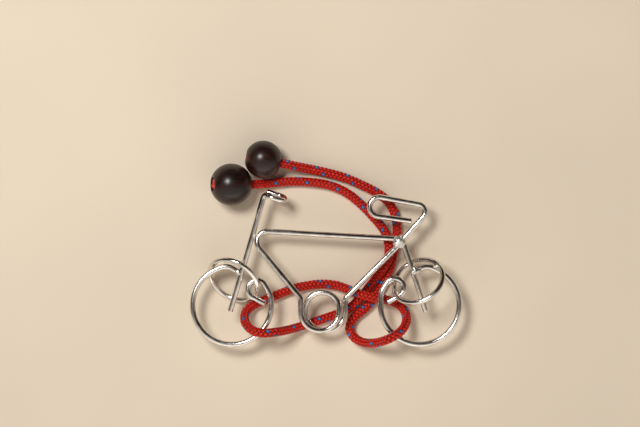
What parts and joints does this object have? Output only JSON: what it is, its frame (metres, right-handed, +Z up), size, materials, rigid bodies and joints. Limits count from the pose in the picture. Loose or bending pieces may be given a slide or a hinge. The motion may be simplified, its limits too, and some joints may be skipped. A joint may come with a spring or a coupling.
{
  "type": "disentanglement puzzle",
  "caption": "Bicycle bent from plated steel wire, with loose rings in its wheel eyes and a braided cord with a wooden bead at each end.",
  "frame": {"origin": "on the table, under the middle of the puzzle's outline", "axes": "+X from the rear wheel to the front wheel, +Y from the wheels up to the handlebar, +Z up from the table, out of the plane of the bicycle"},
  "size_m": [0.1142, 0.0872, 0.0226],
  "materials": {
    "plated_wire": "bright nickel plating",
    "weld_metal": "lumpy, plated over",
    "plated_ring_wire": "bright nickel plating",
    "braided_cord": "braided, with blue flecks",
    "knotted_cord": "braided, knotted",
    "dark_wood": "turned, glossy dark brown"
  },
  "bodies": {
    "bicycle_and_cord": {"frame_wire": "plated_wire", "seat_post": "plated_wire", "handlebar_and_fork": "plated_wire", "rear_wheel": "plated_wire", "front_wheel": "plated_wire", "head_weld": "weld_metal", "seat_weld": "weld_metal", "rear_wheel_weld": "weld_metal", "front_wheel_weld": "weld_metal", "cord": "braided_cord", "front_bead_knot": "knotted_cord", "rear_bead_knot": "knotted_cord"},
    "rear_ring": {"rear_ring": "plated_ring_wire"},
    "front_ring": {"front_ring": "plated_ring_wire"},
    "front_bead": {"front_bead": "dark_wood"},
    "rear_bead": {"rear_bead": "dark_wood"}
  },
  "joints": [
    {"name": "rear_ring_swing", "type": "hinge", "parent": "bicycle_and_cord", "child": "rear_ring", "pos_m": [-0.02895, -0.0191, 0.01105], "axis": [0, 0, 1], "range_deg": [-36, 0]},
    {"name": "front_ring_swing", "type": "hinge", "parent": "bicycle_and_cord", "child": "front_ring", "pos_m": [0.0287, -0.0185, 0.01085], "axis": [0, 0, 1], "range_deg": [0, 24]},
    {"name": "front_bead_turn", "type": "hinge", "parent": "bicycle_and_cord", "child": "front_bead", "pos_m": [-0.0399, 0.025, 0.0089], "axis": [-0.9563, 0, 0.2924], "continuous": true},
    {"name": "rear_bead_turn", "type": "hinge", "parent": "bicycle_and_cord", "child": "rear_bead", "pos_m": [-0.0264, 0.0356, 0.00795], "axis": [-0.9762, 0.1898, 0.1045], "continuous": true}
  ]
}
